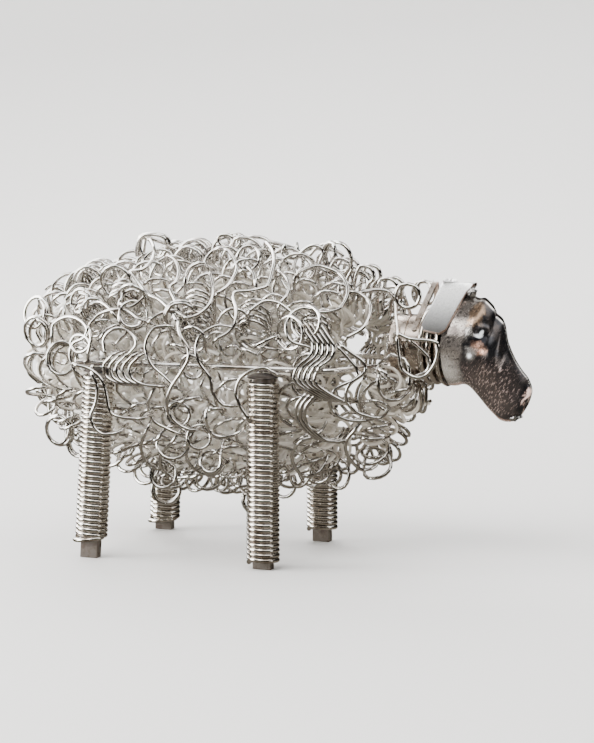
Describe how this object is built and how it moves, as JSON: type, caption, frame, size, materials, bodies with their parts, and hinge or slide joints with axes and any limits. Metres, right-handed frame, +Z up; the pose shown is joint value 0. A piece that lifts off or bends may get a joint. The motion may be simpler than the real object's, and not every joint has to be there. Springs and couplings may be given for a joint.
{
  "type": "sheep sculpture",
  "caption": "Small standing sheep sculpture made of scrap metal, with a fleece of coiled wire, legs wound with wire, a sheet-metal head and a folded strap for ears.",
  "frame": {"origin": "middle of the whole part's box, on the ground between the feet", "axes": "+X towards the head, +Y towards the sheep's left side, +Z up; the undersides of the feet are on Z = 0"},
  "size_m": [0.167, 0.0634, 0.0976],
  "materials": {
    "bright_wire": "bright silver-coloured wire, polished",
    "leg_winding": "bright round wire, closely wound",
    "dark_steel": "dark, dull, with brown marks",
    "polished_rod": "polished",
    "neck_metal": "smooth, brownish grey",
    "head_plate": "dark polished sheet with fine scratches and copper-coloured edges",
    "brushed_strap": "brushed satin, light silver",
    "solder": "lumpy solder, bright on top"
  },
  "bodies": {
    "root": {"leg_bar_front_right": "dark_steel", "leg_bar_front_left": "dark_steel", "leg_bar_rear_right": "dark_steel", "leg_bar_rear_left": "dark_steel", "leg_winding_front_right": "leg_winding", "leg_winding_front_left": "leg_winding", "leg_winding_rear_right": "leg_winding", "leg_winding_rear_left": "leg_winding", "leg_cap_front_right": "dark_steel", "leg_cap_front_left": "dark_steel", "leg_cap_rear_right": "dark_steel", "leg_cap_rear_left": "dark_steel", "side_rod_right": "polished_rod", "side_rod_left": "polished_rod", "chest_post": "polished_rod", "fleece_wire_rear": "bright_wire", "fleece_wire_middle": "bright_wire", "fleece_wire_front": "bright_wire", "neck_barrel": "neck_metal", "neck_ring_1": "polished_rod", "neck_ring_2": "polished_rod", "neck_ring_3": "polished_rod", "head_plate_right": "head_plate", "head_plate_left": "head_plate", "ear_strap": "brushed_strap", "nape_strip": "neck_metal", "solder_drop_crown": "solder", "solder_drop_muzzle": "solder"}
  },
  "joints": []
}
